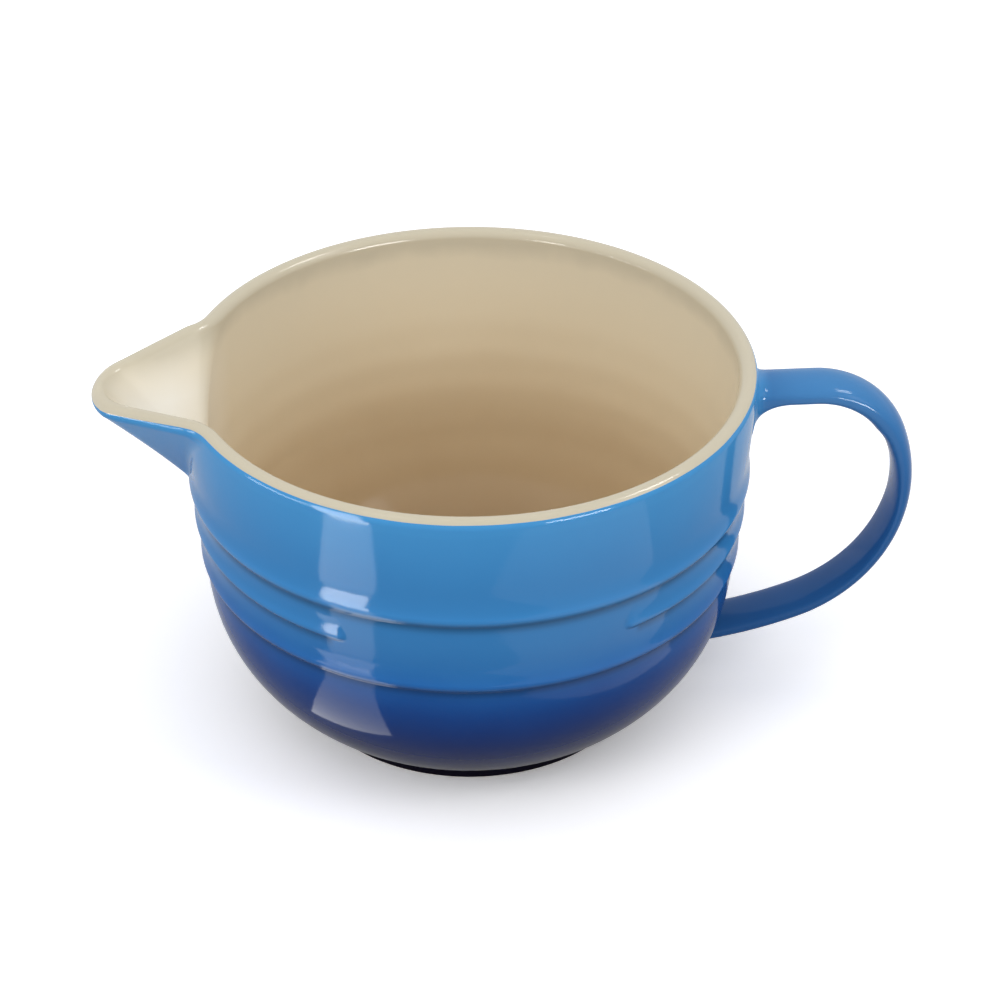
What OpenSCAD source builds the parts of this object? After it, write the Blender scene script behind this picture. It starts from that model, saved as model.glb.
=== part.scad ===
// Batter bowl of glazed stoneware: a deep round bowl with three moulded
// bands, a drawn-out pouring spout and a strap handle opposite the spout.
// +X points to the handle, -X to the spout and -Y to the front. The bare
// panel in the middle band faces the front. The origin is on the table,
// under the middle of the bowl.

/* [Bowl] */
// Height from the table to the top of the rim
bowl_h = 119.8; // [112:0.2:140]
// Diameter across the rim
rim_d = 177.6; // [170:0.2:200]
// Diameter where the wall ends and the belly starts
waist_d = 167.4; // [156:0.2:175]
// Whole thickness of the wall, glaze and all
wall_t = 5.6; // [4.6:0.1:8]
// Thickness of the clay floor
floor_t = 4.6; // [3.5:0.1:8]
// Diameter of the flat floor inside
well_d = 92; // [70:1:104]
// Thickness of each glaze coat
glaze_t = 0.4; // [0.3:0.05:0.7]

/* [Bands] */
// Depth of the upper crease below the rim
crease_a_drop = 38.8; // [34:0.2:42]
// Depth of the middle crease below the rim
crease_b_drop = 50.6; // [46:0.2:54]
// Depth of the lower crease below the rim
crease_c_drop = 64.2; // [60:0.2:70]
// Height over which the wall swells into the upper band
band_rise = 15; // [8:0.5:20]
// How far the bands stand out from the wall
band_proud = 1.2; // [0.8:0.1:2.4]
// Angle round the front that the middle band leaves bare
panel_angle = 58.6; // [30:0.2:90]

/* [Foot] */
// Outer diameter of the foot ring
foot_d = 108; // [90:1:110]
// Diameter where the belly meets the foot ring
join_d = 111.4; // [106:0.2:130]
// Height of the foot ring
foot_h = 4.5; // [3:0.1:7]
// Width of the foot ring
foot_w = 8; // [5:0.5:12]
// Height of the strip at the foot that is wiped bare of glaze
bare_h = 1.2; // [0.8:0.1:2]

/* [Spout] */
// Reach of the spout's tip from the middle of the bowl
spout_reach = 116.6; // [109:0.2:128]
// Radius of the spout's nose seen from above
nose_r = 17; // [10:0.5:20]
// Angle of each side of the spout to its middle line
spout_flare = 30; // [24:0.5:36]
// Depth of the spout's lowest point below the rim
keel_drop = 38.4; // [30:0.2:38.8]
// How far the tip dips below the rim
tip_dip = 3.6; // [0:0.1:7]
// Radius of the hollow corners where the spout meets the rim
corner_r = 8; // [5:0.5:12]

/* [Handle] */
// Width of the strap
strap_w = 17; // [13:0.5:22]
// Thickness of the strap
strap_t = 6.6; // [5:0.1:9]
// Depth of the strap's top run below the rim
grip_drop = 13.4; // [12.5:0.1:16]
// Reach of the strap's middle line from the middle of the bowl
grip_reach = 137; // [128:0.2:150]
// Radius of the strap's upper bend
bend_r = 30; // [24:0.5:33]
// Radius of the strap's long back curve
back_r = 48; // [42:0.5:50]
// Turn of the upper bend
bend_turn = 70; // [60:1:78]
// Slope of the strap's tail to the level
tail_slope = 21; // [14:0.5:24]
// How far the roots spread beyond the strap on each side
root_flare = 3.4; // [1:0.1:4]
// Length over which the roots spread
flare_len = 13; // [8:0.5:16]
// Radius of the strap's gentle tail
tail_r = 140; // [125:1:180]

/* [Hidden] */
$fn = 96;

rim_r = rim_d / 2;
waist_r = waist_d / 2;
join_r = join_d / 2;
foot_r = foot_d / 2;
well_r = well_d / 2;
lip_r = wall_t / 2;
lip_z = bowl_h - lip_r;
waist_z = bowl_h - crease_c_drop;
floor_z = foot_h + floor_t + glaze_t;
// One overrun for every cut that runs past a face
over = wall_t;

// Shares that shape the curves
crest_share = 0.7;
crown_share = 0.58;
bury_share = 0.5;
apex_share = 0.04;
edge_share = 0.25;
cove_share = 0.55;
end_share = 0.56;
settle_share = 0.5;
tail_end_share = 0.74;
// Powers that lean the wall, round the belly, hollow the keel and flatten the
// strap's inner face
wall_power = 1.3;
belly_power = 2.2;
keel_power = 1.12;
flat_power = 0.6;

// Steps of the curves
belly_steps = 12;
band_steps = 10;
wall_steps = 3;
lip_step = 20;
nose_steps = 6;
corner_steps = 4;
cone_steps = 4;
run_steps = 8;
bend_steps = 7;
back_steps = 11;
tail_steps = 9;
strap_step = 20;
end_step = 15;

// Angle on the lip where the inner glaze gives way to the outer
glaze_line = 2 * lip_step;

// Section of the bowl

// Radius of the plain wall and belly at a height
function wall_r(z) =
    rim_r - (rim_r - waist_r) * pow((bowl_h - z) / crease_c_drop, wall_power);
belly_k = 1 - pow(join_r / waist_r, 2);
function belly_r(z) =
    waist_r * sqrt(1 - belly_k * pow((waist_z - z) / (waist_z - foot_h), belly_power));
function plain_r(z) = z >= waist_z ? wall_r(z) : belly_r(z);

// Bands as [top, crease], from the upper one down. Each swells slowly to a
// crest and falls quickly to its crease.
bands = [[bowl_h - crease_a_drop + band_rise, bowl_h - crease_a_drop],
         [bowl_h - crease_a_drop, bowl_h - crease_b_drop],
         [bowl_h - crease_b_drop, waist_z]];
function swell(t) = t < crest_share
    ? (1 - cos(180 * t / crest_share)) / 2
    : (1 + cos(180 * (t - crest_share) / (1 - crest_share))) / 2;
function band_z(b, t) = b[0] + (b[1] - b[0]) * t;
function band_points(b, inset) = [for (i = [band_steps : -1 : 0])
    let (t = i / band_steps, z = band_z(b, t))
    [plain_r(z) + band_proud * swell(t) - inset, z]];

// The outer outline from the foot up to the lip, without the middle band.
// An inset of one glaze coat gives the clay under it.
function outer_points(inset) = concat(
    [for (i = [0 : belly_steps - 1])
        let (z = foot_h + (waist_z - foot_h) * i / belly_steps)
        [plain_r(z) - inset, z]],
    band_points(bands[2], inset),
    band_points(bands[0], inset),
    [for (i = [1 : wall_steps - 1])
        let (z = bands[0][0] + (lip_z - bands[0][0]) * i / wall_steps)
        [plain_r(z) - inset, z]]);

// The lip is a round edge of radius lip_r, with angles from 0 outside to
// 180 inside
function lip_point(a, inset) = [rim_r - lip_r + (lip_r - inset) * cos(a),
                                lip_z + (lip_r - inset) * sin(a)];
function lip_points(from, to, inset) = [for (a = [from : lip_step : to]) lip_point(a, inset)];

// The inner outline from the lip down to the middle of the floor
well_k = 1 - pow(well_r / (waist_r - wall_t), 2);
function well_point(u, inset) = [
    (waist_r - wall_t) * sqrt(1 - well_k * pow(u, 2)) + inset,
    waist_z - (waist_z - floor_z + inset) * u];
function inner_points(inset) = concat(
    [for (i = [1 : wall_steps - 1])
        let (z = lip_z + (waist_z - lip_z) * i / wall_steps)
        [wall_r(z) - wall_t + inset, z]],
    [for (i = [0 : belly_steps]) well_point(i / belly_steps, inset)],
    [[0, floor_z - inset]]);

function reversed(points) = [for (i = [len(points) - 1 : -1 : 0]) points[i]];

module turned(points) rotate_extrude() polygon(points);

// The space in front of the bare panel, seen from the front. The middle band's
// ends stand into it as half rounds.
panel_x = waist_r * sin(panel_angle / 2);
module panel_front(inset) {
    top = bands[1][0];
    base = bands[1][1];
    end_r = (top - base) * end_share;
    right = concat(
        [[panel_x + end_r, base - over]],
        [for (a = [-90 : end_step : 90])
            [panel_x + end_r - (end_r - inset) * cos(a),
             (top + base) / 2 + (end_r - inset) * sin(a)]],
        [[panel_x + end_r, top + over]]);
    rotate([90, 0, 0])
        linear_extrude(rim_r + over)
        polygon(concat(right, [for (p = reversed(right)) [-p[0], p[1]]]));
}
// The middle band, which stops short of the bare panel
module band_ring(inset) {
    inside = wall_t * bury_share;
    difference() {
        turned(concat(
            band_points(bands[1], inset),
            [[plain_r(bands[1][0]) - inside, bands[1][0]],
             [plain_r(bands[1][1]) - inside, bands[1][1]]]));
        panel_front(inset);
    }
}

// Lofts

// A closed solid through rings of as many points each
module loft(rings) {
    n = len(rings[0]);
    last = len(rings) - 1;
    walls = [for (i = [0 : last - 1], j = [0 : n - 1]) let (k = (j + 1) % n)
        each [[i * n + j, (i + 1) * n + j, i * n + k],
              [i * n + k, (i + 1) * n + j, (i + 1) * n + k]]];
    polyhedron([for (r = rings) each r],
               concat(walls, [[for (j = [0 : n - 1]) j],
                              [for (j = [n - 1 : -1 : 0]) last * n + j]]));
}

// A coat between the outer rings and the inner rings, open at both ends
module coat(outer, inner) {
    n = len(outer[0]);
    last = len(outer) - 1;
    m = n * (last + 1);
    skins = [for (i = [0 : last - 1], j = [0 : n - 1]) let (k = (j + 1) % n)
        each [[i * n + j, (i + 1) * n + j, i * n + k],
              [i * n + k, (i + 1) * n + j, (i + 1) * n + k],
              [m + i * n + k, m + (i + 1) * n + j, m + i * n + j],
              [m + (i + 1) * n + k, m + (i + 1) * n + j, m + i * n + k]]];
    ends = [for (j = [0 : n - 1]) let (k = (j + 1) % n, e = last * n)
        each [[j, k, m + j], [k, m + k, m + j],
              [e + j, m + e + j, e + k], [e + k, m + e + j, m + e + k]]];
    polyhedron(concat([for (r = outer) each r], [for (r = inner) each r]),
               concat(skins, ends));
}

// Spout

// The spout is a cone whose point lies low on the wall and whose mouth is the
// lip's outline: a round nose, straight sides and hollow corners. A depth of 0
// is its outer face and a depth of wall_t its channel.
keel_foot = [wall_r(bowl_h - keel_drop), bowl_h - keel_drop];
keel_line = [spout_reach, bowl_h - tip_dip - lip_r] - keel_foot;
keel_way = keel_line / norm(keel_line);
keel_in = [-keel_way[1], keel_way[0]];
function cone_apex(depth) = keel_foot - wall_t * bury_share * keel_way + depth * keel_in;

nose_c = [spout_reach - nose_r, 0];
side_out = [sin(spout_flare), cos(spout_flare)];
side_back = [-cos(spout_flare), sin(spout_flare)];
corner_from = nose_c + (nose_r + corner_r) * side_out;
corner_b = corner_from * side_back;
corner_q = pow(rim_r + corner_r, 2) - corner_from * corner_from;
corner_c = corner_from - side_back * (corner_b + sqrt(pow(corner_b, 2) + corner_q));
corner_start = 270 - spout_flare;
corner_end = 180 + atan2(corner_c[1], corner_c[0]);
// The corner stops just short of the rim's own direction and dives into it
corner_turn = (corner_end - corner_start) * (1 - edge_share);

function half_outline(inset) = concat(
    [for (i = [0 : nose_steps]) let (a = (90 - spout_flare) * i / nose_steps)
        nose_c + (nose_r - inset) * [cos(a), sin(a)]],
    [for (i = [0 : corner_steps]) let (a = corner_start + corner_turn * i / corner_steps)
        corner_c + (corner_r + inset) * [cos(a), sin(a)]]);
// The outline with its two ends run into the hollow of the bowl
function outline(inset) = let (
    half = half_outline(inset),
    end = half[len(half) - 1],
    deep = end * (rim_r - 2 * wall_t) / norm(end))
    concat([for (p = reversed(concat(half, [deep]))) [p[0], -p[1]]],
           [for (i = [1 : len(half) - 1]) half[i]],
           [deep]);

// Height of the lip over a point of the plan. It starts just under the rim's.
function dip_z(x) = bowl_h - glaze_t * settle_share
                    - tip_dip * max(0, x - rim_r) / (spout_reach - rim_r);
// A ring of the cone at a share of its height, level at the cone's point
function cone_ring(share, depth) = let (a = cone_apex(depth))
    [for (p = outline(depth)) let (
        drawn = pow(share, keel_power),
        top = share == apex_share ? lip_z : dip_z(p[0]) - lip_r)
        [a[0] + drawn * (p[0] - a[0]), drawn * p[1],
         a[1] + share * (top - a[1])]];
function cone_rings(depth) = [for (i = [0 : cone_steps])
    cone_ring(apex_share + (1 - apex_share) * i / cone_steps, depth)];
// A ring over the lip, at an angle and a radius round the lip's middle
function lip_ring(a, radius) = [for (p = outline(lip_r - radius * cos(a)))
    [p[0], p[1], dip_z(p[0]) - lip_r + radius * sin(a)]];
function level_ring(inset, z) = [for (p = outline(inset)) [p[0], p[1], z]];

// The spout as a solid horn without its channel. Its top is flat from the
// lip's crest inwards, where the channel takes it away.
module horn(inset) {
    radius = lip_r - inset;
    crest = 90 - lip_step / 2;
    mirror([1, 0, 0]) loft(concat(
        cone_rings(inset),
        [for (a = [lip_step : lip_step : crest]) lip_ring(a, radius)],
        [[for (p = outline(lip_r + radius / 2))
            [p[0], p[1], dip_z(p[0]) - lip_r + radius * cos(lip_step / 2)]]],
        [level_ring(wall_t, bowl_h)]));
}

// The channel that is cut from the horn and from the wall behind it
module channel(inset) {
    radius = lip_r - inset;
    crest = 90 + lip_step / 2;
    mirror([1, 0, 0]) loft(concat(
        cone_rings(wall_t - inset),
        [for (a = [180 - lip_step : -lip_step : crest]) lip_ring(a, radius)],
        [level_ring(lip_r - radius * cos(crest), bowl_h + over)]));
}

// Everything on the inner glaze's side of the glaze line, in the middle of
// the clay and out over the lip
module cream_side() {
    line = lip_point(glaze_line, -lip_r);
    turned(concat(
        reversed(inner_points(lip_r)),
        [lip_point(0, lip_r), line, [line[0], bowl_h + over], [0, bowl_h + over]]));
    reach = lip_r - wall_t * cos(glaze_line);
    mirror([1, 0, 0]) loft(concat(
        cone_rings(lip_r),
        [lip_ring(glaze_line, wall_t), level_ring(reach, bowl_h + over)]));
}

// Bowl

module bowl_filled(inset) turned(concat(
    [[0, foot_h]],
    outer_points(inset),
    lip_points(0, 90 - lip_step / 2, inset),
    [[0, lip_point(90 - lip_step / 2, inset)[1]]]));
module bowl_hollow(inset) turned(concat(
    reversed(inner_points(inset)),
    reversed(lip_points(90 + lip_step / 2, 180, inset)),
    [[rim_r - lip_r, bowl_h + over], [0, bowl_h + over]]));

// What the spout is seated on: the wall up to the lip, then the lip's middle
module spout_seat() turned(concat(
    [[0, foot_h]],
    outer_points(glaze_t),
    [[rim_r - lip_r, lip_z], [rim_r - lip_r, bowl_h + over], [0, bowl_h + over]]));
// The outer half of the lip, where the spout's own lip takes its place
module spout_notch() intersection() {
    mirror([1, 0, 0])
        translate([0, 0, lip_z])
        linear_extrude(lip_r + over)
        polygon(outline(glaze_t));
    difference() {
        cylinder(h = bowl_h + over, r = rim_r + over);
        translate([0, 0, -over]) cylinder(h = bowl_h + 3 * over, r = rim_r - lip_r);
    }
}

module bowl_body() color("wheat") difference() {
    turned(concat(
        [[0, foot_h]],
        outer_points(glaze_t),
        lip_points(0, 180, glaze_t),
        inner_points(glaze_t)));
    channel(glaze_t);
    spout_notch();
}

// The foot's outer side from the bare strip up to the belly
cove_z = bare_h + (foot_h - bare_h) * cove_share;
function foot_side(inset) = [[foot_r - inset, bare_h], [foot_r - inset, cove_z],
                             [join_r - inset, foot_h]];
module foot_ring() color("tan") {
    edge = bare_h * bury_share;
    turned(concat(
        [[foot_r - foot_w, foot_h], [foot_r - foot_w, edge], [foot_r - foot_w + edge, 0],
         [foot_r - edge, 0], [foot_r, edge], [foot_r, bare_h]],
        foot_side(glaze_t)));
}

module middle_band() color("burlywood") difference() {
    band_ring(glaze_t);
    bowl_filled(glaze_t);
}

module pouring_spout() color("wheat") difference() {
    horn(glaze_t);
    channel(glaze_t);
    spout_seat();
}

// Handle

// The strap's middle line, as stations of [x, z, turn]. It leaves the wall
// level, bends down, and comes back in three arcs that meet smoothly.
grip_z = bowl_h - grip_drop;
bend_c = [grip_reach - bend_r * sin(bend_turn) - back_r * (1 - sin(bend_turn)), grip_z - bend_r];
back_c = bend_c + (bend_r - back_r) * [sin(bend_turn), cos(bend_turn)];
back_turn = 180 - tail_slope;
tail_c = back_c + (back_r - tail_r) * [sin(back_turn), cos(back_turn)];
tail_end_x = waist_r * tail_end_share;
tail_turn = 180 - asin((tail_end_x - tail_c[0]) / tail_r);
function arc(c, r, a) = [c[0] + r * sin(a), c[1] + r * cos(a), a];
top_start = rim_r - wall_t;
stations = concat(
    [for (i = [0 : run_steps - 1])
        [top_start + (bend_c[0] - top_start) * i / run_steps, grip_z, 0]],
    [for (i = [0 : bend_steps - 1]) arc(bend_c, bend_r, bend_turn * i / bend_steps)],
    [for (i = [0 : back_steps - 1])
        arc(back_c, back_r, bend_turn + (back_turn - bend_turn) * i / back_steps)],
    [for (i = [0 : tail_steps])
        arc(tail_c, tail_r, back_turn + (tail_turn - back_turn) * i / tail_steps)]);

// How far a station's section spreads, most where it meets the wall
tail_z = arc(tail_c, tail_r, tail_turn)[1];
function spread(s) = let (
    d = s[2] < 90 ? s[0] - wall_r(grip_z) : s[0] - plain_r(tail_z),
    share = max(0, min(1, 1 - d / flare_len)))
    root_flare * pow(share, 2);
// A section of the strap: crowned outside, flatter inside
function strap_ring(s, inset) = [for (a = [0 : strap_step : 360 - strap_step]) let (
    y = (strap_w / 2 + spread(s) - inset) * cos(a),
    half = strap_t / 2 + spread(s) - inset,
    n = sin(a) > 0
        ? 2 * half * crown_share * sin(a)
        : -2 * half * (1 - crown_share) * pow(-sin(a), flat_power))
    [s[0] + n * sin(s[2]), y, s[1] + n * cos(s[2])]];
function strap_rings(inset) = [for (s = stations) strap_ring(s, inset)];

module handle() color("wheat") difference() {
    loft(strap_rings(glaze_t));
    bowl_filled(glaze_t);
}

module handle_glaze() color("royalblue") difference() {
    coat(strap_rings(0), strap_rings(glaze_t));
    bowl_filled(glaze_t);
}

// Glaze

module clay() {
    bowl_body();
    pouring_spout();
}

module interior_glaze() color("cornsilk") difference() {
    intersection() {
        cream_side();
        union() {
            bowl_filled(0);
            horn(0);
        }
    }
    bowl_hollow(0);
    channel(0);
    clay();
}

module exterior_glaze() color("steelblue") {
    difference() {
        union() {
            bowl_filled(0);
            band_ring(0);
            horn(0);
        }
        cream_side();
        clay();
        band_ring(glaze_t);
        loft(strap_rings(0));
    }
    turned(concat(foot_side(0), reversed(foot_side(glaze_t))));
}

bowl_body();
foot_ring();
middle_band();
pouring_spout();
handle();
interior_glaze();
exterior_glaze();
handle_glaze();
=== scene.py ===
import math

import bmesh
import bpy
import numpy as np
from mathutils import Matrix


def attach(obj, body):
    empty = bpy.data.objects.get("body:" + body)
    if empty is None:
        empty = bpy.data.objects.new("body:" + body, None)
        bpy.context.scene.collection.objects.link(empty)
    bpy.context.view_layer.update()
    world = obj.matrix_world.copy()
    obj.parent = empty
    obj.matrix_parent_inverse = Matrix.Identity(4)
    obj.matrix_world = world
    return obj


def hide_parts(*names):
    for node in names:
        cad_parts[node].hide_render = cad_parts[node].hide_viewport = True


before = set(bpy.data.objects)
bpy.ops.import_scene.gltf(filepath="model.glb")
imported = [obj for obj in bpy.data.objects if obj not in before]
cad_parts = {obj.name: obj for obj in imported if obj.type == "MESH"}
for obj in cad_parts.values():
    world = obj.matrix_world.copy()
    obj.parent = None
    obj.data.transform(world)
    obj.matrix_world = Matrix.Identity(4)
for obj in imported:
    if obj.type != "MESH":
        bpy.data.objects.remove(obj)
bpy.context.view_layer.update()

# Clay of the bowl. Pale stoneware is formed to one outline: a wall that leans
# out, a belly that rounds in to the foot, and three moulded bands between. Body,
# middle band and spout are lumps of their own, luted together before glazing.
MM = 0.001
RIM_R, WAIST_R, JOIN_R, FOOT_R = 88.8, 83.7, 55.7, 54.0
RIM_Z, WAIST_Z, JOIN_Z, BARE_Z = 119.75, 55.6, 4.5, 0.4
WALL, GLAZE = 5.6, 0.4
LIP = WALL / 2
WALL_POWER, BELLY_POWER = 1.3, 2.2
BAND_TOPS = (96.0, 81.0, 69.2)
BAND_CREASES = (81.0, 69.2, 55.6)
BAND_PROUD, CREST = 1.25, 0.80
PANEL_HALF, SHOULDER_Z = math.radians(29.6), 71.2
END_DROP, END_RISE, END_BOW, END_SOFT = 2.0, 8.0, 4.0, 2.4


def smooth(t):
    t = np.clip(t, 0, 1)
    return t * t * (3 - 2 * t)


def wall_radius(z):
    rise = np.clip((RIM_Z - z) / (RIM_Z - WAIST_Z), 0, 1)
    round_in = 1 - (JOIN_R / WAIST_R) ** 2
    depth = np.clip((WAIST_Z - z) / (WAIST_Z - JOIN_Z), 0, 1)
    return np.where(z >= WAIST_Z, RIM_R - (RIM_R - WAIST_R) * rise ** WALL_POWER,
                    WAIST_R * np.sqrt(1 - round_in * depth ** BELLY_POWER))


def swell(t):
    """Outline of one band from its top, 0, to its crease, 1: a slow rise, then a quick fall."""
    rise = smooth((np.clip(t, 0, 1) / CREST) ** 2)
    fall = smooth((1 - t) / (1 - CREST))
    return np.where(t < CREST, rise, fall) * ((t >= 0) & (t <= 1))


def panel_fade(turn, z):
    """1 on the middle band, 0 on the plain front panel, with a rounded end between."""
    past = WAIST_R * (PANEL_HALF - np.abs(np.abs(turn) - math.pi / 2))
    tall = np.where(z > SHOULDER_Z, (z - SHOULDER_Z) / END_RISE, (SHOULDER_Z - z) / END_DROP)
    bow = END_BOW * (1 - np.sqrt(np.clip(1 - tall ** 2, 0, 1)))
    front = np.where(turn > 0, 1.0, 0.0)
    return 1 - front * smooth((past + bow) / END_SOFT + 0.5)


def bands(turn, z, which=(0, 1, 2)):
    out = np.zeros(np.broadcast(turn, z).shape)
    for i in which:
        top, crease = BAND_TOPS[i], BAND_CREASES[i]
        share = swell((top - z) / (top - crease))
        out = out + BAND_PROUD * share * (panel_fade(turn, z) if i == 1 else 1)
    return out


def linear(hex_colour):
    parts = [int(hex_colour[i:i + 2], 16) / 255 for i in (1, 3, 5)]
    return [p / 12.92 if p <= 0.04045 else ((p + 0.055) / 1.055) ** 2.4 for p in parts] + [1.0]


def node(tree, kind, links=(), stops=(), **settings):
    """Adds a node, sets its properties, its sockets' values and its stops, and links it."""
    made = tree.nodes.new(kind)
    for key, value in settings.items():
        if key.startswith("in_"):
            socket = key[3:]
            socket = int(socket) if socket.isdigit() else socket.replace("_", " ")
            made.inputs[socket].default_value = value
        else:
            setattr(made, key, value)
    if stops:
        made.color_ramp.interpolation = "B_SPLINE"
        for _ in stops[2:]:
            made.color_ramp.elements.new(0.5)
        for element, (position, colour) in zip(made.color_ramp.elements, stops):
            element.position = position
            element.color = linear(colour)
    for socket, source in links:
        tree.links.new(source, made.inputs[socket])
    return made


def new_material(name):
    material = bpy.data.materials.new(name)
    material.use_nodes = True
    material.node_tree.nodes.clear()
    return material, material.node_tree


# Fired stoneware: a dry, pale, slightly sandy clay. Grog grains of about 0.5 mm
# are drawn at 0.9 mm, so that they show, and stand 0.1 mm proud.
GRAIN, GRAIN_PROUD = 0.9, 0.1
clay, tree = new_material("fired_stoneware_clay")
place = node(tree, "ShaderNodeTexCoord")
grain = node(tree, "ShaderNodeTexNoise", [(0, place.outputs["Object"])],
             in_Scale=1 / (GRAIN * MM), in_Detail=3.0)
colour = node(tree, "ShaderNodeValToRGB", [(0, grain.outputs[0])],
              [(0.30, "#A8957A"), (0.48, "#CDBFA6"), (0.75, "#D9CDB7")])
bump = node(tree, "ShaderNodeBump", [("Height", grain.outputs[0])],
            in_Strength=0.5, in_Distance=GRAIN_PROUD * MM)
shader = node(tree, "ShaderNodeBsdfPrincipled",
              [("Base Color", colour.outputs[0]), ("Normal", bump.outputs[0])],
              in_Roughness=0.85, in_IOR=1.5)
node(tree, "ShaderNodeOutputMaterial", [(0, shader.outputs[0])])

# Pouring spout. It is drawn out of the soft wall as a funnel that comes to a
# point low on the outside: a keel below, flat flanks, a round nose and hollow
# corners. `turn` is the angle round the bowl from the spout to the front.
REACH, NOSE_R = 117.3, 17.8
FLARE, SPOUT_HALF = math.radians(30), math.radians(60)
KEEL_HOLLOW, TIP_DIP = 1.3, 3.4
APEX_R, APEX_Z = 84.2, 78.4
CORNER_LIP, CORNER_FOOT = 3.0, 1.0
LEAST_NOSE, LEAST_MIDDLE = 0.8, 1.0


def smooth_max(a, b, soft):
    h = np.clip(1 - np.abs(a - b) / soft, 0, 1)
    return np.maximum(a, b) + h * h * soft / 4


def funnel(turn, z, inset):
    """Radius of the funnel on a ray; an inset of WALL gives the channel."""
    tall, sine = RIM_Z - TIP_DIP - LIP - APEX_Z, math.sin(FLARE)
    share = (z - APEX_Z) / tall
    lean = math.hypot(REACH - APEX_R, tall) / tall
    reach = (APEX_R + (REACH - APEX_R) * share - inset * lean
             - KEEL_HOLLOW * np.sin(math.pi * np.clip(share, 0, 1)))
    flank = APEX_R * sine
    flank_at_lip = (REACH - NOSE_R) * sine + NOSE_R
    side_lean = math.hypot(flank_at_lip - flank, tall) / tall
    flank = flank + (flank_at_lip - flank) * share - inset * side_lean
    nose = np.maximum((flank - reach * sine) / (1 - sine), LEAST_NOSE)
    middle = np.maximum((flank - nose) / sine, LEAST_MIDDLE)
    away = np.abs(turn)
    side = flank / (sine * np.cos(away) + math.cos(FLARE) * np.sin(away))
    inside = nose ** 2 - (middle * np.sin(away)) ** 2
    round_nose = middle * np.cos(away) + np.sqrt(np.clip(inside, 0, None))
    on_nose = (round_nose * np.cos(away) - middle > nose * sine) & (inside > 0)
    shape = np.where(on_nose, round_nose, side)
    return np.where((away < SPOUT_HALF) & (share > 0), shape, 0.0)


def corner(z):
    share = np.clip((z - APEX_Z) / (RIM_Z - APEX_Z), 0, 1)
    return CORNER_FOOT + (CORNER_LIP - CORNER_FOOT) * share


def outer_radius(turn, z, which=(0, 1, 2)):
    return smooth_max(wall_radius(z) + bands(turn, z, which), funnel(turn, z, 0), corner(z))


def inner_radius(turn, z):
    return smooth_max(wall_radius(z) - WALL, funnel(turn, z, WALL), 2 * corner(z))


# Columns of the turned grid, closer together round the spout and at the ends of
# the middle band: how much closer, and over what angle.
COLUMNS, FINE = 520, 7201
SPOUT_CROWD, SPOUT_SPREAD = 1.7, 0.42
END_CROWD, END_SPREAD = 1.3, 0.07
fine = np.linspace(-math.pi, math.pi, FINE)
crowd = 1 + SPOUT_CROWD * np.exp(-(fine / SPOUT_SPREAD) ** 2)
for end in (math.pi / 2 - PANEL_HALF, math.pi / 2 + PANEL_HALF):
    crowd += END_CROWD * np.exp(-((fine - end) / END_SPREAD) ** 2)
along = np.concatenate([[0], np.cumsum((crowd[1:] + crowd[:-1]) / 2)])
TURNS = np.interp(np.arange(COLUMNS) / COLUMNS, along / along[-1], fine)

# The lip dips towards the spout's tip. Rows near it follow the dip, and rows
# below the spout stay level.
DIP_DEEP, DIP_POWER, DIP_MOST = 44.0, 1.5, 1.1
reach_at = outer_radius(TURNS, np.full(COLUMNS, RIM_Z - LIP)) * np.cos(TURNS)
LIP_DIP = TIP_DIP * np.clip((reach_at - RIM_R) / (REACH - RIM_R), 0, DIP_MOST)


def sag(z):
    return z - LIP_DIP * np.clip((z - (RIM_Z - DIP_DEEP)) / DIP_DEEP, 0, 1) ** DIP_POWER


def slope(radius, z):
    step = 0.05
    return (radius(TURNS, z) - radius(TURNS, z - step)) / step


# The lip is a half round that leans with the wall, from `start` on the outside
# to `stop` on the inside. LEAST_LIP is the least square of its half width.
LEAST_LIP = 1.5
lip_z = RIM_Z - LIP - LIP_DIP
out_at_lip, in_at_lip = outer_radius(TURNS, lip_z), inner_radius(TURNS, lip_z)
out_lean, in_lean = slope(outer_radius, lip_z), slope(inner_radius, lip_z)
lip_half = np.sqrt(np.clip(((out_at_lip - in_at_lip) / 2) ** 2
                           - (LIP * (out_lean + in_lean) / 2) ** 2, LEAST_LIP, None))
lip_middle = (out_at_lip - np.sqrt(lip_half ** 2 + (LIP * out_lean) ** 2)
              + in_at_lip + np.sqrt(lip_half ** 2 + (LIP * in_lean) ** 2)) / 2
start = -np.arctan(LIP * out_lean / lip_half)
stop = math.pi - np.arctan(LIP * in_lean / lip_half)


def lip_point(angle):
    return (lip_middle + lip_half * np.cos(angle), lip_z + LIP * np.sin(angle))


# The cream coat is poured first and runs over the lip; the blue is sprayed up
# to it, by hand, so their line wanders a little and drops at the spout. A wave
# is its count round the bowl, its share and its shift.
LINE, LINE_AT_SPOUT, LINE_WANDER = math.radians(38), math.radians(9), math.radians(0.8)
LINE_TURN = 0.5
LINE_WAVES = ((7, 1.0, 1.0), (17, 0.6, 0.0), (41, 0.4, 2.0))
wander = sum(share * np.sin(count * TURNS + shift) for count, share, shift in LINE_WAVES)
glaze_line = (LINE + (LINE_AT_SPOUT - LINE) * smooth(1 - np.abs(TURNS) / LINE_TURN)
              + LINE_WANDER * wander)

# Rows of the outside, from the foot's bare edge to the lip. They crowd towards
# each band's crease and stay a little apart where the lip dips.
FOOT_STEPS = ((FOOT_R, BARE_Z), (FOOT_R, 2.2), (FOOT_R + 0.1, 3.1), (FOOT_R + 0.6, 3.9))
CREASE_CROWD, ROW_GAP = 1.35, 0.02


def level_row(z, ceiling):
    return np.minimum(sag(np.full(COLUMNS, z)), ceiling - (RIM_Z - z) * ROW_GAP)


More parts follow.
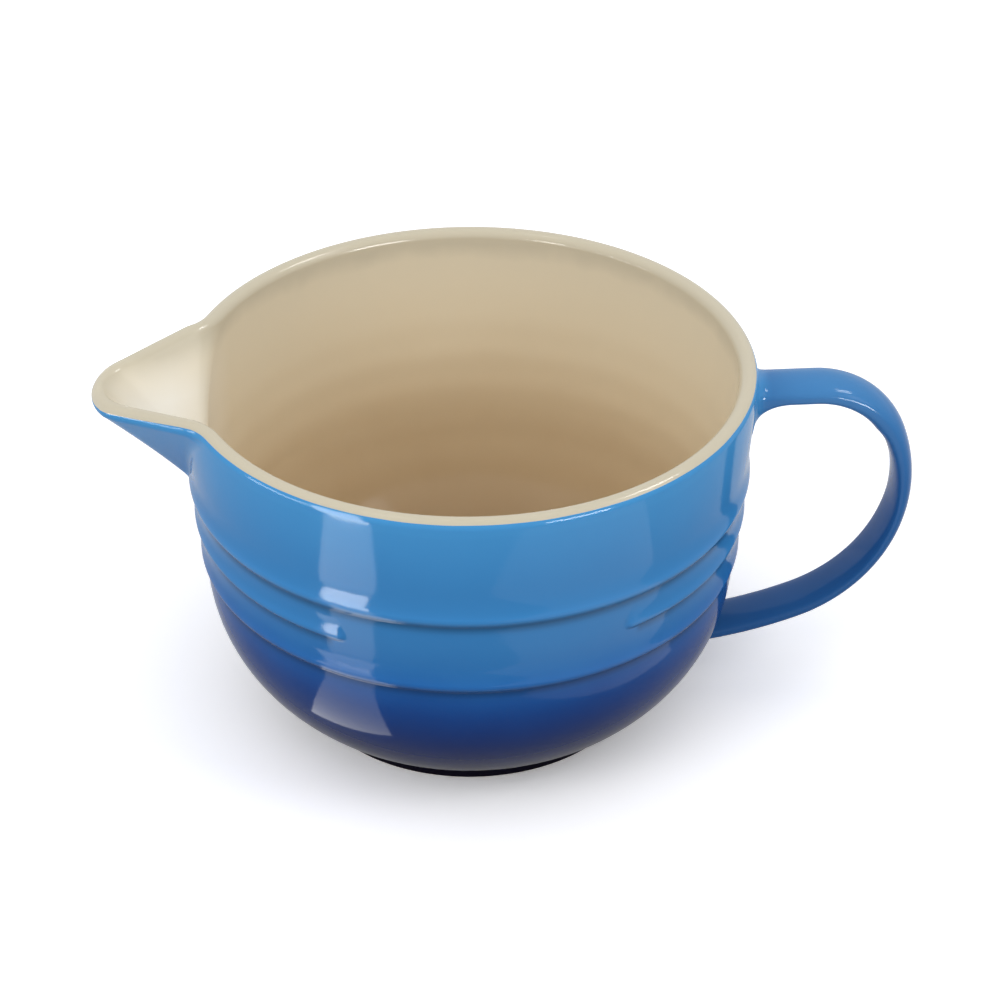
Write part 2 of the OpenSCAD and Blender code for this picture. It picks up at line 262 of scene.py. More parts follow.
rows = [(np.full(COLUMNS, r), np.full(COLUMNS, z)) for r, z in FOOT_STEPS]
out_z = [np.linspace(JOIN_Z, WAIST_Z, 25)[:-1]]
for top, crease in zip(BAND_TOPS[::-1], BAND_CREASES[::-1]):
    out_z.append(crease + (top - crease) * np.linspace(0, 1, 14)[:-1] ** CREASE_CROWD)
out_z.append(np.linspace(BAND_TOPS[0], RIM_Z - LIP, 13)[:-1])
for z in np.concatenate(out_z):
    level = level_row(z, lip_point(start)[1])
    rows.append((outer_radius(TURNS, level), level))
rows += [lip_point(start + (glaze_line - start) * t) for t in np.linspace(0, 1, 7)]
line_row = len(rows) - 1
rows += [lip_point(glaze_line + (stop - glaze_line) * t) for t in np.linspace(0, 1, 14)[1:]]

# Inside, the wall keeps the maker's shallow throwing rings, which fade out
# towards the rim and the floor. The floor is flat but for one faint turned ring.
WELL_R, FLOOR_Z = 46.0, 9.5
THROW_DEEP, THROW_STEP = 0.10, 12.5
THROW_TOP, FADE_UP, FADE_DOWN = 20.0, 25.0, 12.0
TURNED_R, TURNED_W, TURNED_H = 25.0, 2.2, 0.16


def throwing_rings(turn, z):
    wave = np.sin(2 * math.pi * (z / THROW_STEP + turn / (2 * math.pi)))
    below_rim = np.clip((RIM_Z - THROW_TOP - z) / FADE_UP, 0, 1)
    return THROW_DEEP * wave * below_rim * np.clip((z - FLOOR_Z) / FADE_DOWN, 0, 1)


for z in np.linspace(RIM_Z - LIP, WAIST_Z, 34)[1:]:
    level = level_row(z, lip_point(stop)[1])
    rows.append((inner_radius(TURNS, level) + throwing_rings(TURNS, level), level))
well_k = 1 - (WELL_R / (WAIST_R - WALL)) ** 2
for u in np.linspace(0, 1, 28)[1:]:
    z = WAIST_Z - (WAIST_Z - FLOOR_Z) * u
    r = (WAIST_R - WALL) * math.sqrt(1 - well_k * u ** 2)
    rows.append((r + throwing_rings(TURNS, z), np.full(COLUMNS, z)))
for r in np.linspace(WELL_R, 0, 22)[1:-1]:
    ring = TURNED_H * math.exp(-((r - TURNED_R) / TURNED_W) ** 2)
    rows.append((np.full(COLUMNS, r), np.full(COLUMNS, FLOOR_Z + ring)))


def at_turn(turn, r, z):
    """Points at a radius and a height, on the rays at an angle from the spout."""
    turn, r, z = np.broadcast_arrays(turn, r, z)
    return np.stack([-r * np.cos(turn), -r * np.sin(turn), z], axis=-1)


def grid_normals(grid):
    """Normals of a grid that is closed round its columns."""
    across = np.roll(grid, -1, axis=1) - np.roll(grid, 1, axis=1)
    n = np.cross(across, np.gradient(grid, axis=0))
    n /= np.linalg.norm(n, axis=-1, keepdims=True) + 1e-12
    return n


BELLY_ROW = 10
radius, height = (np.array(part) for part in zip(*rows))
skin = at_turn(TURNS, radius, height)
normals = grid_normals(skin)
if np.mean(normals[BELLY_ROW] * skin[BELLY_ROW] * [1, 1, 0]) < 0:
    normals = -normals


def add_object(name, data):
    made = bpy.data.objects.new(name, data)
    bpy.context.scene.collection.objects.link(made)
    return made


def face_outward(mesh):
    shape = bmesh.new()
    shape.from_mesh(mesh)
    bmesh.ops.recalc_face_normals(shape, faces=shape.faces)
    shape.to_mesh(mesh)
    shape.free()


def clay_lump(name, rings):
    """A lump in its place from rings of points in millimetres, closed at both ends."""
    count, around = rings.shape[:2]
    faces = [(i * around + j, i * around + (j + 1) % around,
              (i + 1) * around + (j + 1) % around, (i + 1) * around + j)
             for i in range(count - 1) for j in range(around)]
    faces += [tuple(range(around)),
              tuple((count - 1) * around + j for j in reversed(range(around)))]
    mesh = bpy.data.meshes.new(name)
    mesh.from_pydata((rings.reshape(-1, 3) * MM).tolist(), [], faces)
    mesh.validate()
    face_outward(mesh)
    mesh.materials.append(clay)
    return add_object(name, mesh)


# The three lumps of clay lie just under the glaze. The spout's lump is cut from
# the same grid as the body's, along a wedge low round the spout's root.
UNDER = GLAZE + 0.02
UNDERSIDE_RADII, LAST_RING = (1.0, 20.0, 40.0, 52.0), 0.25
WEDGE_HALF, WEDGE_IN, WEDGE_OUT = 0.42, 70.0, 130.0
join_row = len(FOOT_STEPS)
lump = skin[join_row:] - normals[join_row:] * UNDER
back_z = height[:line_row, 0]
for i in np.flatnonzero((back_z > BAND_TOPS[2]) & (back_z < BAND_TOPS[1])):
    plain = outer_radius(TURNS, height[i], (0, 2)) - UNDER
    lump[i - join_row] = at_turn(TURNS, plain, height[i])
underside = [at_turn(TURNS, r, JOIN_Z) for r in UNDERSIDE_RADII]
last_ring = lump[-1] * [LAST_RING, LAST_RING, 1]
whole = clay_lump("bowl_clay", np.concatenate([underside, lump, [last_ring]]))
wedge_turns = np.linspace(-WEDGE_HALF, WEDGE_HALF, 9)
wedge = clay_lump("spout_wedge", np.array([
    np.concatenate([at_turn(wedge_turns, WEDGE_IN, z), at_turn(wedge_turns[::-1], WEDGE_OUT, z)])
    for z in (APEX_Z, RIM_Z + WALL)]))


def result_of(made):
    """The plain mesh that an object's modifiers give."""
    seen = made.evaluated_get(bpy.context.evaluated_depsgraph_get())
    return bpy.data.meshes.new_from_object(seen)


def cut(name, base, tool, way):
    part = add_object(name, base.data.copy())
    modifier = part.modifiers.new("cut", "BOOLEAN")
    modifier.object, modifier.operation, modifier.solver = tool, way, "EXACT"
    mesh = result_of(part)
    part.modifiers.clear()
    part.data = mesh
    part.data.name = name
    return part


body_clay = cut("bowl_body_clay", whole, wedge, "DIFFERENCE")
spout_clay = cut("pouring_spout_clay", whole, wedge, "INTERSECT")
for scrap in (whole, wedge):
    bpy.data.objects.remove(scrap)

# The middle band's strip, with its back sunk into the body and its ends tucked
# under the rounded ends that the glaze shows.
BAND_TUCK, BAND_SUNK, BAND_MARGIN = 0.02, 0.6, 0.02
band_turns = np.linspace(math.pi / 2 + PANEL_HALF - BAND_TUCK,
                         math.pi * 2.5 - PANEL_HALF + BAND_TUCK, 400)
band_turns = ((band_turns + math.pi) % (2 * math.pi) - math.pi)[:, None]
band_share = np.linspace(BAND_MARGIN, 1 - BAND_MARGIN, 12)
band_z = BAND_TOPS[2] + (BAND_TOPS[1] - BAND_TOPS[2]) * band_share
proud = wall_radius(band_z) + bands(band_turns, band_z) - UNDER
seat = wall_radius(band_z) - UNDER - BAND_SUNK
band_clay = clay_lump("middle_band_clay", np.concatenate(
    [at_turn(band_turns, proud, band_z), at_turn(band_turns, seat, band_z)[:, ::-1]], axis=1))
for piece, stands_for in ((body_clay, "bowl_body"), (spout_clay, "pouring_spout"),
                          (band_clay, "middle_band")):
    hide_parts(stands_for)
    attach(piece, "root")


def glaze_coat(name, front, out, finish, cap=None):
    """A closed coat: the shown skin in front and the clay's side behind it."""
    count, around = front.shape[:2]
    points = np.concatenate([front.reshape(-1, 3), (front - out * GLAZE).reshape(-1, 3)])
    directions = np.concatenate([out.reshape(-1, 3), -out.reshape(-1, 3)])
    back_at, last = count * around, (count - 1) * around
    i, j = np.meshgrid(np.arange(count - 1), np.arange(around), indexing="ij")
    k = (j + 1) % around
    corners = [i * around + j, i * around + k, (i + 1) * around + k, (i + 1) * around + j]
    shown = np.stack(corners, -1).reshape(-1, 4)
    behind = np.stack(corners[::-1], -1).reshape(-1, 4) + back_at
    j, k = j[0], k[0]
    sides = [shown, behind, np.stack([j, j + back_at, k + back_at, k], -1)]
    tips = np.empty((0, 3), int)
    if cap is None:
        sides.append(np.stack([last + j, last + k, last + k + back_at, last + j + back_at], -1))
    else:
        points = np.concatenate([points, [cap, np.array(cap) - [0, 0, GLAZE]]])
        directions = np.concatenate([directions, [[0, 0, 1], [0, 0, -1]]])
        pole = np.full(around, 2 * back_at)
        tips = np.concatenate([np.stack([last + j, last + k, pole], -1),
                               np.stack([last + back_at + k, last + back_at + j, pole + 1], -1)])
    faces = np.concatenate(sides)
    first = points[faces[0]]
    if np.dot(np.cross(first[1] - first[0], first[3] - first[0]), out[0, 0]) < 0:
        faces, tips = faces[:, ::-1], tips[:, ::-1]
    mesh = bpy.data.meshes.new(name)
    mesh.from_pydata((points * MM).tolist(), [], faces.tolist() + tips.tolist())
    mesh.shade_smooth()
    mesh.normals_split_custom_set_from_vertices(directions.tolist())
    mesh.validate()
    mesh.materials.append(finish)
    return add_object(name, mesh)


# Exterior glaze. One glossy coat over body, band and spout, sprayed by hand: mid
# blue above, graded below the bands to near-black navy at the foot, where the
# near-black is partly painted shade of the belly's underside. The coat is darker
# in the creases and lighter on the crests: partly the glaze pooling and thinning,
# partly painted shade in the creases and painted light on the crests.
# Clouds 25 mm wide, ripples of 2.2 mm.
CLOUD, RIPPLE, RIPPLE_DEEP = 25.0, 2.2, 0.3
# The crease darkening and crest lightening set here are partly glaze pooling and thinning,
# partly painted shade in the creases and painted light on the crests.
CLOUDY, POOL_AND_SHADE_DARK = 0.05, 0.56
POOL_SHADE_UP, POOL_SHADE_WIDE, THINNED_AND_LIT, THIN_LIT_WIDE = 0.4, 1.9, 0.4, 2.0
# The darkest stops, at the foot, are partly painted shade of the belly's underside.
WALL_SHADES = (
    (0.00, "#0A0412"), (0.07, "#050820"), (0.16, "#041044"), (0.27, "#072A68"),
    (0.38, "#103E84"), (0.46, "#1B58A0"), (0.53, "#2E74B5"), (0.62, "#3880BD"),
    (0.80, "#3A85C3"), (0.95, "#4797D3"))


def blue_glaze(name, *shades):
    """Blue by height; a second set of shades is the wall's, where "root" is 1."""
    material, tree = new_material(name)
    place = node(tree, "ShaderNodeTexCoord")
    split = node(tree, "ShaderNodeSeparateXYZ", [(0, place.outputs["Object"])])
    level = node(tree, "ShaderNodeMath", [(0, split.outputs["Z"])],
                 operation="DIVIDE", in_1=RIM_Z * MM)
    cloud = node(tree, "ShaderNodeTexNoise", [(0, place.outputs["Object"])],
                 in_Scale=1 / (CLOUD * MM), in_Detail=3.0)
    shift = node(tree, "ShaderNodeMath", [(0, cloud.outputs[0]), (2, level.outputs[0])],
                 operation="MULTIPLY_ADD", in_1=CLOUDY)
    blues = [node(tree, "ShaderNodeValToRGB", [(0, shift.outputs[0])],
                  [(at + CLOUDY / 2, shade) for at, shade in graded]).outputs[0]
             for graded in shades]
    colour = blues[0]
    if len(blues) == 2:
        root = node(tree, "ShaderNodeAttribute", attribute_name="root")
        colour = node(tree, "ShaderNodeMix",
                      [(0, root.outputs["Fac"]), (6, blues[0]), (7, blues[1])],
                      data_type="RGBA").outputs[2]
    # Darker in the creases, lighter on the crests: partly the glaze, partly painted shade and
    # painted light.
    pool_and_shade = node(tree, "ShaderNodeAttribute", attribute_name="pool_and_shade")
    depth = node(tree, "ShaderNodeMath", [(0, pool_and_shade.outputs["Fac"])],
                 operation="MULTIPLY_ADD", in_1=-POOL_AND_SHADE_DARK, in_2=1.0)
    pooled_and_shaded = node(tree, "ShaderNodeHueSaturation",
                  [("Color", colour), ("Value", depth.outputs[0])])
    ripple = node(tree, "ShaderNodeTexNoise", [(0, place.outputs["Object"])],
                  in_Scale=1 / (RIPPLE * MM), in_Detail=2.0)
    bump = node(tree, "ShaderNodeBump", [("Height", ripple.outputs[0])],
                in_Strength=0.05, in_Distance=RIPPLE_DEEP * MM)
    shader = node(tree, "ShaderNodeBsdfPrincipled",
                  [("Base Color", pooled_and_shaded.outputs[0]), ("Normal", bump.outputs[0])],
                  in_Roughness=0.09, in_IOR=1.5, in_Specular_IOR_Level=0.1)
    node(tree, "ShaderNodeOutputMaterial", [(0, shader.outputs[0])])
    return material


exterior = glaze_coat("exterior_glaze_coat", skin[:line_row + 1], normals[:line_row + 1],
                      blue_glaze("graded_blue_stoneware_glaze", WALL_SHADES))
level = height[:line_row + 1]
# Per point: darker just under each crease, lighter on each crest; partly glaze pooling and
# thinning, partly painted shade and painted light.
pooling_and_shade = np.zeros(level.shape)
for i, (top, crease) in enumerate(zip(BAND_TOPS, BAND_CREASES)):
    there = panel_fade(TURNS, level) if i == 1 else 1.0
    crest = top - (top - crease) * CREST
    pooling_and_shade += there * (np.exp(-((level - crease - POOL_SHADE_UP) / POOL_SHADE_WIDE) ** 2)
                        - THINNED_AND_LIT * np.exp(-((level - crest) / THIN_LIT_WIDE) ** 2))
pool_and_shade = exterior.data.attributes.new("pool_and_shade", "FLOAT", "POINT")
pool_and_shade.data.foreach_set("value", np.tile(pooling_and_shade.ravel(), 2))
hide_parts("exterior_glaze")
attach(exterior, "root")

# Interior glaze. A warm cream coat, poured in and rolled round, from the lip's
# outer shoulder down to the floor. It is glossy, darker and browner towards the
# floor as painted shade of the hollow, paler in the channel as a painted
# highlight, with faint clouds about 18 mm across.
CREAM_CLOUD, CREAM_CLOUDY = 18.0, 0.06
CHANNEL_FROM, CHANNEL_TO = -74.0, -92.0
PALE_FROM, PALE_TO = 0.965, 0.87
cream, tree = new_material("cream_stoneware_glaze")
place = node(tree, "ShaderNodeTexCoord")
cloud = node(tree, "ShaderNodeTexNoise", [(0, place.outputs["Object"])],
             in_Scale=1 / (CREAM_CLOUD * MM), in_Detail=3.0)
split = node(tree, "ShaderNodeSeparateXYZ", [(0, place.outputs["Object"])])
level = node(tree, "ShaderNodeMath", [(0, split.outputs["Z"])],
             operation="DIVIDE", in_1=RIM_Z * MM)
shift = node(tree, "ShaderNodeMath", [(0, cloud.outputs[0]), (2, level.outputs[0])],
             operation="MULTIPLY_ADD", in_1=CREAM_CLOUDY)
# Darker and browner towards the floor: painted shade of the hollow.
depth = node(tree, "ShaderNodeValToRGB", [(0, shift.outputs[0])],
             [(0.11, "#AE9472"), (0.30, "#C6AD89"), (0.50, "#DAC6A4"),
              (0.74, "#E8DBBF"), (0.95, "#E4DAC2"), (1.00, "#C8C0AB")])
# Paler cream in the spout's channel: a painted highlight.
in_spout = node(tree, "ShaderNodeMapRange", [(0, split.outputs["X"])],
                in_1=CHANNEL_FROM * MM, in_2=CHANNEL_TO * MM)
below_lip = node(tree, "ShaderNodeMapRange", [(0, level.outputs[0])],
                 in_1=PALE_FROM, in_2=PALE_TO)
channel_highlight = node(tree, "ShaderNodeMath", [(0, in_spout.outputs[0]), (1, below_lip.outputs[0])],
               operation="MULTIPLY")
colour = node(tree, "ShaderNodeMix", [(0, channel_highlight.outputs[0]), (6, depth.outputs[0])],
              data_type="RGBA", in_7=linear("#EFEBE0"))
ripple = node(tree, "ShaderNodeTexNoise", [(0, place.outputs["Object"])],
              in_Scale=1 / (RIPPLE * MM), in_Detail=2.0)
bump = node(tree, "ShaderNodeBump", [("Height", ripple.outputs[0])],
            in_Strength=0.05, in_Distance=RIPPLE_DEEP * MM)
shader = node(tree, "ShaderNodeBsdfPrincipled",
              [("Base Color", colour.outputs[2]), ("Normal", bump.outputs[0])],
              in_Roughness=0.14, in_IOR=1.5, in_Specular_IOR_Level=0.2)
node(tree, "ShaderNodeOutputMaterial", [(0, shader.outputs[0])])

interior = glaze_coat("interior_glaze_coat", skin[line_row:], normals[line_row:], cream,
                      cap=(0, 0, FLOOR_Z))
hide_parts("interior_glaze")
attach(interior, "root")

# Handle. A pulled strap of clay, crowned outside and flatter inside. It leaves
# the wall level, bends down and comes back to the belly; the joins are smoothed
# with wet clay into round fillets. The same blue is sprayed over it.
STRAP_W, OUTSIDE, FLAT_POWER = 17.0, 3.7, 0.62
INSIDE = ((0, 3.8), (30, 4.4), (55, 4.6), (80, 2.9),
          (100, 2.0), (130, 2.0), (165, 2.8), (185, 3.4))
GRIP_Z, GRIP_R = 106.5, 136.9
BEND_R, BEND_TURN, BACK_R = 27.0, math.radians(70), 50.0
TAIL_R, BACK_TURN, TAIL_LENGTH = 140.0, math.radians(159), 62.0
TOP_FILLET, UNDER_FILLET, TAIL_FILLET, TAIL_UNDER, SIDE_FILLET = 5.5, 12.0, 1.0, 3.0, 3.5
BLEND, SUNK, ROOT_DEEP, START_DEEP = 6.0, 1.6, 2.6, 3.0
AROUND, LEVEL_STEP, ARC_STEP = 56, 0.8, 1.1


def on_arc(centre, r, turn):
    return (centre[0] + r * math.sin(turn), centre[1] + r * math.cos(turn))


def arc_points(centre, r, turn_from, turn_to):
    count = int((turn_to - turn_from) * r / ARC_STEP)
    return [(*on_arc(centre, r, turn), turn)
            for turn in np.linspace(turn_from, turn_to, count, endpoint=False)]


bend = (GRIP_R - BEND_R * math.sin(BEND_TURN) - BACK_R * (1 - math.sin(BEND_TURN)),
        GRIP_Z - BEND_R)
back = on_arc(bend, BEND_R - BACK_R, BEND_TURN)
tail = on_arc(back, BACK_R - TAIL_R, BACK_TURN)
stations = [(x, GRIP_Z, 0.0) for x in np.arange(RIM_R - START_DEEP, bend[0], LEVEL_STEP)]
stations += arc_points(bend, BEND_R, 0.0, BEND_TURN)
stations += arc_points(back, BACK_R, BEND_TURN, BACK_TURN)
stations += arc_points(tail, TAIL_R, BACK_TURN, BACK_TURN + TAIL_LENGTH / TAIL_R)


def fillet(clear, size):
    past = np.clip(1 - clear / size, 0, 1)
    return size * (1 - np.sqrt(np.clip(1 - past ** 2, 0, 1)))


def clearance(points):
    """How far points stand off the bowl's plain outside, along its slope."""
    z = points[..., 2]
    lean = wall_radius(z + 0.5) - wall_radius(z - 0.5)
    return (np.hypot(points[..., 0], points[..., 1]) - wall_radius(z)) / np.sqrt(1 + lean ** 2)


def strap_grid():
    """Rings of the strap's skin, with fillets at the wall and roots inside it."""
    angle = np.arange(AROUND) * 2 * math.pi / AROUND
    side = np.sin(angle)
    rise = np.where(side > 0, np.abs(side), -np.abs(side) ** FLAT_POWER)
    grid = []
    for x, z, turn in stations:
        middle, outward = np.array([x, 0, z]), [math.sin(turn), 0, math.cos(turn)]
        deep = np.where(side > 0, OUTSIDE, np.interp(math.degrees(turn), *zip(*INSIDE)))
        wide = STRAP_W / 2
        clear = clearance(middle + np.outer(wide * np.cos(angle), [0, 1, 0])
                          + np.outer(deep * rise, outward))
        on_top = turn < math.pi / 2
        over = TOP_FILLET if on_top else TAIL_FILLET
        under = UNDER_FILLET if on_top else TAIL_UNDER
        deep = deep + np.where(side > 0, fillet(clear, over), fillet(clear, under))
        wide = wide + fillet(clear, SIDE_FILLET)
        grid.append(middle + np.outer(wide * np.cos(angle), [0, 1, 0])
                    + np.outer(deep * rise, outward))
    grid = np.array(grid)
    keep = np.flatnonzero(clearance(grid).max(axis=1) > -SUNK)
    grid = grid[max(keep[0] - 1, 0):keep[-1] + 2]
    flat = np.hypot(grid[..., 0], grid[..., 1])
    held = np.maximum(flat, wall_radius(grid[..., 2]) - ROOT_DEEP) / flat
    grid[..., :2] *= held[..., None]
    return grid


strap_blue = blue_glaze("sprayed_blue_handle_glaze", (
    (0.10, "#2A5C9C"), (0.25, "#2F649F"), (0.40, "#2E639F"), (0.60, "#2E66A4"),
    (0.80, "#3A78B5"), (0.92, "#4A87BF")), WALL_SHADES)

strap = strap_grid()
strap_out = grid_normals(strap)
if np.mean(strap_out[:5, AROUND // 4, 2]) < 0:
    strap_out = -strap_out
strap_coat = glaze_coat("handle_glaze_coat", strap, strap_out, strap_blue)
near_wall = smooth(1 - clearance(strap) / BLEND).ravel()
root = strap_coat.data.attributes.new("root", "FLOAT", "POINT")
root.data.foreach_set("value", np.tile(near_wall, 2))
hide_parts("handle_glaze")
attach(strap_coat, "root")

strap_clay = clay_lump("handle_clay", strap - strap_out * UNDER)
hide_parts("handle")
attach(strap_clay, "root")

# Foot ring. A plain turned ring of clay, wiped clean of glaze so that the bowl
# doesn't stick in the kiln. The blue comes down to 0.4 mm above the table, so
# the ring's bare clay shows from below.
RING_OUT, RING_W, RING_H, RING_EDGE = 53.8, 7.8, 4.5, 0.6
SHARP = math.radians(40)
foot_tree = bpy.data.node_groups.new("turned_ring", "GeometryNodeTree")
values = {}
for label, kind, value in (("Outer Radius", "NodeSocketFloat", RING_OUT * MM),
                           ("Width", "NodeSocketFloat", RING_W * MM),
                           ("Height", "NodeSocketFloat", RING_H * MM),
                           ("Edge", "NodeSocketFloat", RING_EDGE * MM),
                           ("Clay", "NodeSocketMaterial", clay)):
    socket = foot_tree.interface.new_socket(label, in_out="INPUT", socket_type=kind)
    values[socket.identifier] = value
foot_tree.interface.new_socket("Ring", in_out="OUTPUT", socket_type="NodeSocketGeometry")
given = node(foot_tree, "NodeGroupInput")
half = node(foot_tree, "ShaderNodeMath", [(0, given.outputs["Width"])],
            operation="MULTIPLY", in_1=0.5)
middle = node(foot_tree, "ShaderNodeMath",
              [(0, given.outputs["Outer Radius"]), (1, half.outputs[0])], operation="SUBTRACT")
path = node(foot_tree, "GeometryNodeCurvePrimitiveCircle", [("Radius", middle.outputs[0])],
            in_Resolution=256)
outline = node(foot_tree, "GeometryNodeCurvePrimitiveQuadrilateral",
               [("Width", given.outputs["Width"]), ("Height", given.outputs["Height"])])
eased = node(foot_tree, "GeometryNodeFilletCurve",
             [(0, outline.outputs[0]), ("Radius", given.outputs["Edge"])],
             mode="POLY", in_Count=4)
swept = node(foot_tree, "GeometryNodeCurveToMesh", [(0, path.outputs[0]), (1, eased.outputs[0])])
lift = node(foot_tree, "ShaderNodeMath", [(0, given.outputs["Height"])],
            operation="MULTIPLY", in_1=0.5)
offset = node(foot_tree, "ShaderNodeCombineXYZ", [("Z", lift.outputs[0])])
raised = node(foot_tree, "GeometryNodeTransform",
              [(0, swept.outputs[0]), ("Translation", offset.outputs[0])])
real = node(foot_tree, "GeometryNodeRealizeInstances", [(0, raised.outputs[0])])
set_clay = node(foot_tree, "GeometryNodeSetMaterial",
                [(0, real.outputs[0]), ("Material", given.outputs["Clay"])])
node(foot_tree, "NodeGroupOutput", [(0, set_clay.outputs[0])])

maker = add_object("foot_ring_maker", bpy.data.meshes.new("foot_ring_maker"))
turned_ring = maker.modifiers.new("turned_ring", "NODES")
turned_ring.node_group = foot_tree
for identifier, value in values.items():
    turned_ring[identifier] = value
foot_mesh = result_of(maker)
bpy.data.objects.remove(maker)
face_outward(foot_mesh)
foot_mesh.shade_smooth()
foot_mesh.set_sharp_from_angle(angle=SHARP)
foot = add_object("foot_ring_turned", foot_mesh)
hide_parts("foot_ring")
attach(foot, "root")

# Table. A plain white sheet; the camera and the gloss see it white outside the
# bowl's own shadow, and the bowl gets back only an ordinary bounce from it.
# SEEN_GAIN lifts what the camera sees to white at this level of light.
TABLE_HALF, SEEN_GAIN = 6000.0, 1.41
floor_mesh = bpy.data.meshes.new("table_top")
floor_mesh.from_pydata([(x * TABLE_HALF * MM, y * TABLE_HALF * MM, 0)
                        for x, y in ((-1, -1), (1, -1), (1, 1), (-1, 1))], [], [(0, 1, 2, 3)])
floor = add_object("table_top", floor_mesh)
white, tree = new_material("white_paper_sweep")
path = node(tree, "ShaderNodeLightPath")
gloss_ray = node(tree, "ShaderNodeMath", [(0, path.outputs["Is Glossy Ray"]),
                                          (1, path.outputs["Is Transmission Ray"])],
                 operation="MAXIMUM")
bounce = node(tree, "ShaderNodeBsdfDiffuse", in_Color=linear("#BCBCBF"))
in_gloss = node(tree, "ShaderNodeBsdfDiffuse", in_Color=linear("#E5E5E7"))
seen = node(tree, "ShaderNodeBsdfDiffuse",
            in_Color=[SEEN_GAIN * part for part in linear("#FDFDFF")[:3]] + [1.0])
mix = node(tree, "ShaderNodeMixShader",
           [(0, gloss_ray.outputs[0]), (1, bounce.outputs[0]), (2, in_gloss.outputs[0])])
mix = node(tree, "ShaderNodeMixShader",
           [(0, path.outputs["Is Camera Ray"]), (1, mix.outputs[0]), (2, seen.outputs[0])])
node(tree, "ShaderNodeOutputMaterial", [(0, mix.outputs[0])])
floor_mesh.materials.append(white)

# Studio. A white room and two soft boxes high at the left and right light the
# bowl. The rest are for the gloss alone: boxes above and at the sides, a strip
# box that stands on the table at the left front, and glows that lie on it.
ROOM_LIGHT = 0.85
LEFT, RIGHT = math.radians(-134), math.radians(-54)
MIRROR_R, STRIP_Z, GLOW_Z, GLOW_AIM = 230, 86, 0.6, 100
world = bpy.data.worlds.new("studio")
bpy.context.scene.world = world
world.use_nodes = True
tree = world.node_tree
tree.nodes.clear()
path = node(tree, "ShaderNodeLightPath")
seen = node(tree, "ShaderNodeMath", [(0, path.outputs["Is Camera Ray"]),
                                     (1, path.outputs["Is Glossy Ray"])], operation="MAXIMUM")
seen = node(tree, "ShaderNodeMath", [(0, seen.outputs[0]),
                                     (1, path.outputs["Is Transmission Ray"])],
            operation="MAXIMUM")
lit = node(tree, "ShaderNodeBackground", in_0=linear("#FFFFFF"), in_1=ROOM_LIGHT)
shown = node(tree, "ShaderNodeBackground", in_0=linear("#FFFFFF"), in_1=1.0)
mix = node(tree, "ShaderNodeMixShader",
           [(0, seen.outputs[0]), (1, lit.outputs[0]), (2, shown.outputs[0])])
node(tree, "ShaderNodeOutputWorld", [(0, mix.outputs[0])])


def placed(axes, spot):
    """The place of a lamp or camera from its three axes, as columns, and its spot."""
    return Matrix([[*axes[i], spot[i] * MM] for i in range(3)] + [[0, 0, 0, 1]])


def soft_box(name, spot, aim, wide, tall, glow, gloss_only=True):
    """A rectangular lamp of even brightness, where 1 is as bright as white paper."""
    lamp = bpy.data.lights.new(name, "AREA")
    lamp.shape = "RECTANGLE"
    lamp.size, lamp.size_y = wide * MM, tall * MM
    lamp.energy = glow * math.pi * lamp.size * lamp.size_y
    box = add_object(name, lamp)
    forward = np.array(aim, float) - np.array(spot, float)
    forward /= np.linalg.norm(forward)
    flat_on_table = abs(forward[2]) > 0.99
    side = [math.cos(LEFT), math.sin(LEFT), 0] if flat_on_table else np.cross(forward, [0, 0, 1])
    side = side / np.linalg.norm(side)
    box.matrix_world = placed(np.array([side, np.cross(side, forward), -forward]).T, spot)
    box.visible_camera = False
    box.visible_diffuse = not gloss_only
    return box


def beside(way, distance, z):
    return (distance * math.cos(way), distance * math.sin(way), z)


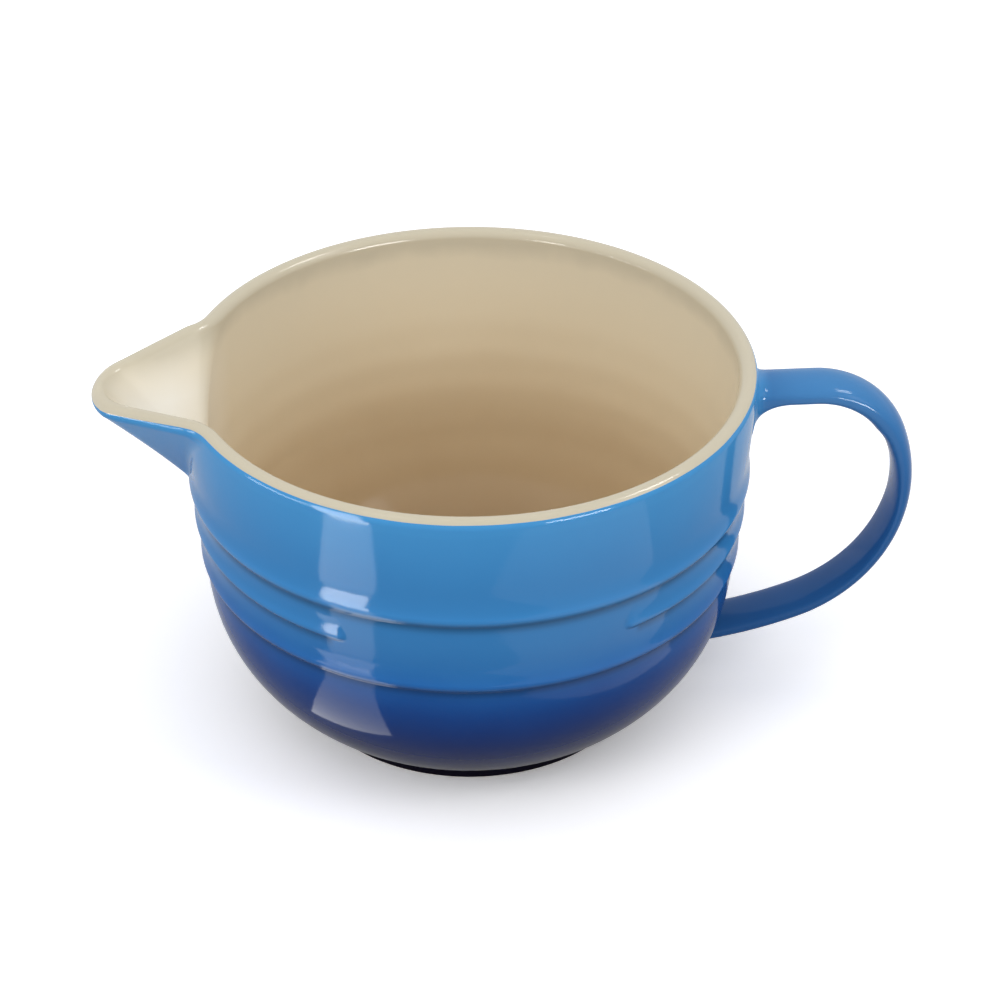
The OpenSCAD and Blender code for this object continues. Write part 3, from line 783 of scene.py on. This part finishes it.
key_box = soft_box("key_box", (-800, -700, 750), (0, 0, 80), 500, 700, 2.7, gloss_only=False)
key_box.visible_glossy = False
soft_box("fill_box", (900, -450, 800), (0, 0, 80), 500, 500, 2.8, gloss_only=False)
soft_box("top_box", (640, 40, 960), (0, 0, 60), 260, 260, 22.0)
soft_box("rim_box", (-290, 60, 1250), (0, 60, 100), 150, 150, 8.0)
soft_box("left_box", (-620, -190, 78), (-90, -40, 78), 300, 150, 20.0)
soft_box("right_box", (620, -880, 200), (60, -20, 110), 460, 320, 40.0)
soft_box("strip_box", beside(LEFT, MIRROR_R, STRIP_Z), beside(LEFT, 0, STRIP_Z), 64, 170, 32.0)
for way, near, far, wide, glow in ((LEFT, 168, 229, 66, 6.5), (LEFT + 0.04, 84, 168, 42, 3.4)):
    middle = (near + far) / 2
    soft_box(f"table_glow_left_{near}", beside(way, middle, GLOW_Z),
             beside(way, middle, GLOW_AIM), far - near, wide, glow)
for deep in (50, 90, 130, 170):
    soft_box(f"table_glow_right_{deep}", beside(RIGHT, MIRROR_R, GLOW_Z),
             beside(RIGHT, MIRROR_R, GLOW_AIM), deep, deep + 40, 1.3)

# Camera, at the picture's place: about 31 degrees above the table, turned 3.4
# degrees to the spout's side. Its distance is counted in UNIT, half the rim's
# width, from a point on the axis at PLANE_Z.
LENS_PIXELS, PICTURE, SENSOR = 3000.0, 1000.0, 36.0
UNIT, PLANE_Z = 88.0, 119.3
AWAY, RAISE = 10.46802, 0.541113
YAW, PITCH, ROLL = 0.0101, -0.0457405, -0.00763315
AZIMUTH = math.radians(3.4)
here = np.array([0, -AWAY * math.cos(RAISE), AWAY * math.sin(RAISE)])
ahead = -here / np.linalg.norm(here)
right = np.cross(ahead, [0, 0, 1])
right /= np.linalg.norm(right)
up = np.cross(right, ahead)
ahead, right = (math.cos(YAW) * ahead + math.sin(YAW) * right,
                math.cos(YAW) * right - math.sin(YAW) * ahead)
ahead, up = (math.cos(PITCH) * ahead + math.sin(PITCH) * up,
             math.cos(PITCH) * up - math.sin(PITCH) * ahead)
right, up = (math.cos(ROLL) * right + math.sin(ROLL) * up,
             math.cos(ROLL) * up - math.sin(ROLL) * right)
c, s = math.cos(-AZIMUTH), math.sin(-AZIMUTH)
turned = np.array([[c, -s, 0], [s, c, 0], [0, 0, 1]])
camera_data = bpy.data.cameras.new("studio_camera")
camera = add_object("studio_camera", camera_data)
bpy.context.scene.camera = camera
camera_data.sensor_width = SENSOR
camera_data.lens = SENSOR * LENS_PIXELS / PICTURE
camera_data.clip_start, camera_data.clip_end = 0.01, 50
camera.matrix_world = placed(turned @ np.array([right, up, -ahead]).T,
                             turned @ here * UNIT + [0, 0, PLANE_Z])

bpy.context.scene.view_settings.view_transform = "Standard"
